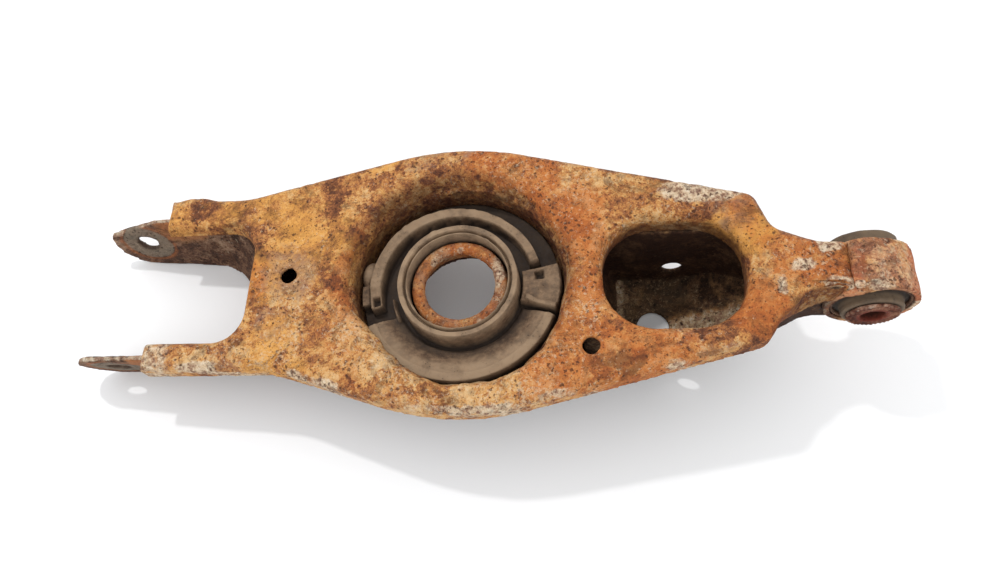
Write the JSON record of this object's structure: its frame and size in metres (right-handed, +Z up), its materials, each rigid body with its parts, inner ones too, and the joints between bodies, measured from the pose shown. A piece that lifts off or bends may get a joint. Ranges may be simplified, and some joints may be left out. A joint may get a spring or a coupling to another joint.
{
  "type": "rear suspension control arm",
  "caption": "Pressed steel rear suspension control arm with a forked inboard end, spring cup with rubber pad, damper window and bushed outboard eye.",
  "frame": {"origin": "centre of the bore of the outboard eye's bush", "axes": "+Y along the eye's bore and the fork's bolt line, +X from the fork towards the eye, +Z up from the surface that the arm lies on"},
  "size_m": [0.4878, 0.1673, 0.1039],
  "materials": {
    "pan_steel": "pressed steel sheet, rusted orange and ochre",
    "channel_steel": "pressed steel sheet, dark brown rust",
    "bracket_steel": "pressed steel sheet, dark brown rust with dust",
    "eye_steel": "steel tube, mottled rust",
    "sleeve_steel": "thin steel sleeve, rusted edge",
    "bush_rubber": "aged rubber, dusty",
    "inner_sleeve_steel": "steel sleeve, dark red rust",
    "pad_rubber": "moulded rubber, dusty grey brown",
    "weld_metal": "weld bead, rusted"
  },
  "bodies": {
    "arm": {"upper_shell": "pan_steel", "spring_cup": "pan_steel", "lower_shell": "channel_steel", "damper_bracket": "bracket_steel", "bracket_side_far": "bracket_steel", "bracket_side_near": "bracket_steel", "eye_ring": "eye_steel", "bush_outer_sleeve": "sleeve_steel", "bush_rubber": "bush_rubber", "spring_pad": "pad_rubber", "eye_weld_upper": "weld_metal", "eye_weld_lower": "weld_metal", "fork_weld_far": "weld_metal", "fork_weld_near": "weld_metal", "bracket_weld_far": "weld_metal", "bracket_weld_near": "weld_metal"},
    "bush_sleeve": {"bush_inner_sleeve": "inner_sleeve_steel"}
  },
  "joints": [
    {"name": "bush_twist", "type": "hinge", "parent": "arm", "child": "bush_sleeve", "pos_m": [0, 0, 0], "axis": [0, 1, 0], "range_deg": [-18, 18], "stiffness_Nm_per_rad": 60}
  ]
}
